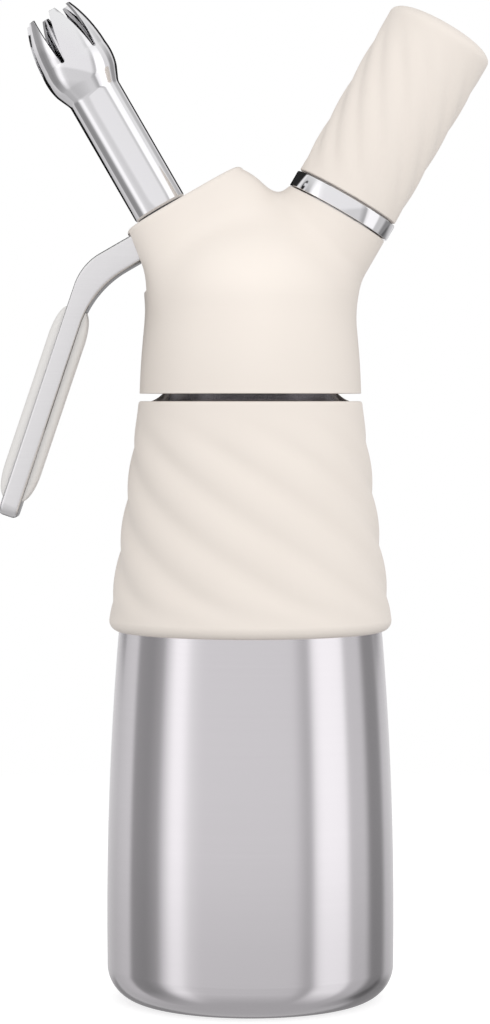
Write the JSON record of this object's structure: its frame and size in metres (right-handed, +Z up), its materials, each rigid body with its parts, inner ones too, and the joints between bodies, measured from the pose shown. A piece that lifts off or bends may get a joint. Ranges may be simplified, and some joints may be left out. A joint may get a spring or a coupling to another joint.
{
  "type": "whipped cream dispenser",
  "caption": "Steel bottle in a wavy grip sleeve with a screw-on head that carries a hand lever, a tulip decorating tip and a screw-on gas charger holder.",
  "frame": {"origin": "centre of the bottle's flat base", "axes": "+Z up along the bottle, -X towards the lever and the decorating tip, +X towards the charger holder, -Y towards the viewer of the picture"},
  "size_m": [0.1357, 0.0802, 0.2785],
  "materials": {
    "bottle_steel": "brushed",
    "soft_cream": "matte soft touch",
    "cream_plastic": "matte",
    "polished_steel": "polished",
    "lever_metal": "satin",
    "pad_silicone": "matte",
    "fitting_metal": "turned",
    "valve_steel": "turned",
    "charger_steel": "drawn",
    "seal_rubber": "matte",
    "gasket_silicone": "matte"
  },
  "bodies": {
    "bottle": {"bottle": "bottle_steel", "bottle_sleeve": "soft_cream"},
    "gasket": {"head_gasket": "gasket_silicone"},
    "head": {"head_shell": "cream_plastic", "thread_ring": "fitting_metal", "nozzle_adapter": "fitting_metal", "lever_pin": "valve_steel", "valve_spring": "valve_steel", "charger_nipple": "fitting_metal", "nipple_o_ring": "seal_rubber", "piercing_pin": "valve_steel", "charger_seal": "seal_rubber", "check_valve": "seal_rubber"},
    "lever": {"lever": "lever_metal", "lever_pad": "pad_silicone"},
    "valve": {"valve_stem": "valve_steel", "valve_seal": "seal_rubber", "seal_screw": "valve_steel", "lower_o_ring": "seal_rubber", "upper_o_ring": "seal_rubber"},
    "tip_washer": {"tip_seal": "gasket_silicone"},
    "tip": {"decorator_tip": "polished_steel"},
    "charger": {"gas_charger": "charger_steel"},
    "charger_holder": {"holder_sleeve": "polished_steel", "holder_grip": "soft_cream"}
  },
  "joints": [
    {"name": "head_lift", "type": "slide", "parent": "bottle", "child": "gasket", "axis": [0, 0, 1], "range_m": [0, 0.00801]},
    {"name": "head_turn", "type": "hinge", "parent": "gasket", "child": "head", "pos_m": [0, 0, 0.17], "axis": [0, 0, 1], "range_deg": [0, 720]},
    {"name": "lever_swing", "type": "hinge", "parent": "head", "child": "lever", "pos_m": [-0.01097, 0, 0.21831], "axis": [0, -1, 0], "range_deg": [0, 15]},
    {"name": "valve_slide", "type": "slide", "parent": "head", "child": "valve", "axis": [0.5, 0, -0.866], "range_m": [0, 0.00288], "stiffness_N_per_m": 600, "springref_m": -0.004, "deforming": ["valve_spring"]},
    {"name": "tip_lift", "type": "slide", "parent": "head", "child": "tip_washer", "axis": [-0.5, 0, 0.866], "range_m": [0, 0.00501]},
    {"name": "tip_turn", "type": "hinge", "parent": "tip_washer", "child": "tip", "pos_m": [0, 0, 0.1773], "axis": [-0.5, 0, 0.866], "range_deg": [0, 1440]},
    {"name": "charger_lift", "type": "slide", "parent": "head", "child": "charger", "axis": [0.5, 0, 0.866], "range_m": [0, 0.00601]},
    {"name": "holder_turn", "type": "hinge", "parent": "charger", "child": "charger_holder", "pos_m": [0, 0, 0.1773], "axis": [0.5, 0, 0.866], "range_deg": [0, 1440]}
  ],
  "couplings": [
    {"joint": "head_lift", "follows": "head_turn", "m_per_rad": 0.00063662},
    {"joint": "lever_swing", "follows": "valve_slide", "rad_per_m": 90.909},
    {"joint": "tip_lift", "follows": "tip_turn", "m_per_rad": 0.00019894},
    {"joint": "charger_lift", "follows": "holder_turn", "m_per_rad": 0.00023873}
  ]
}
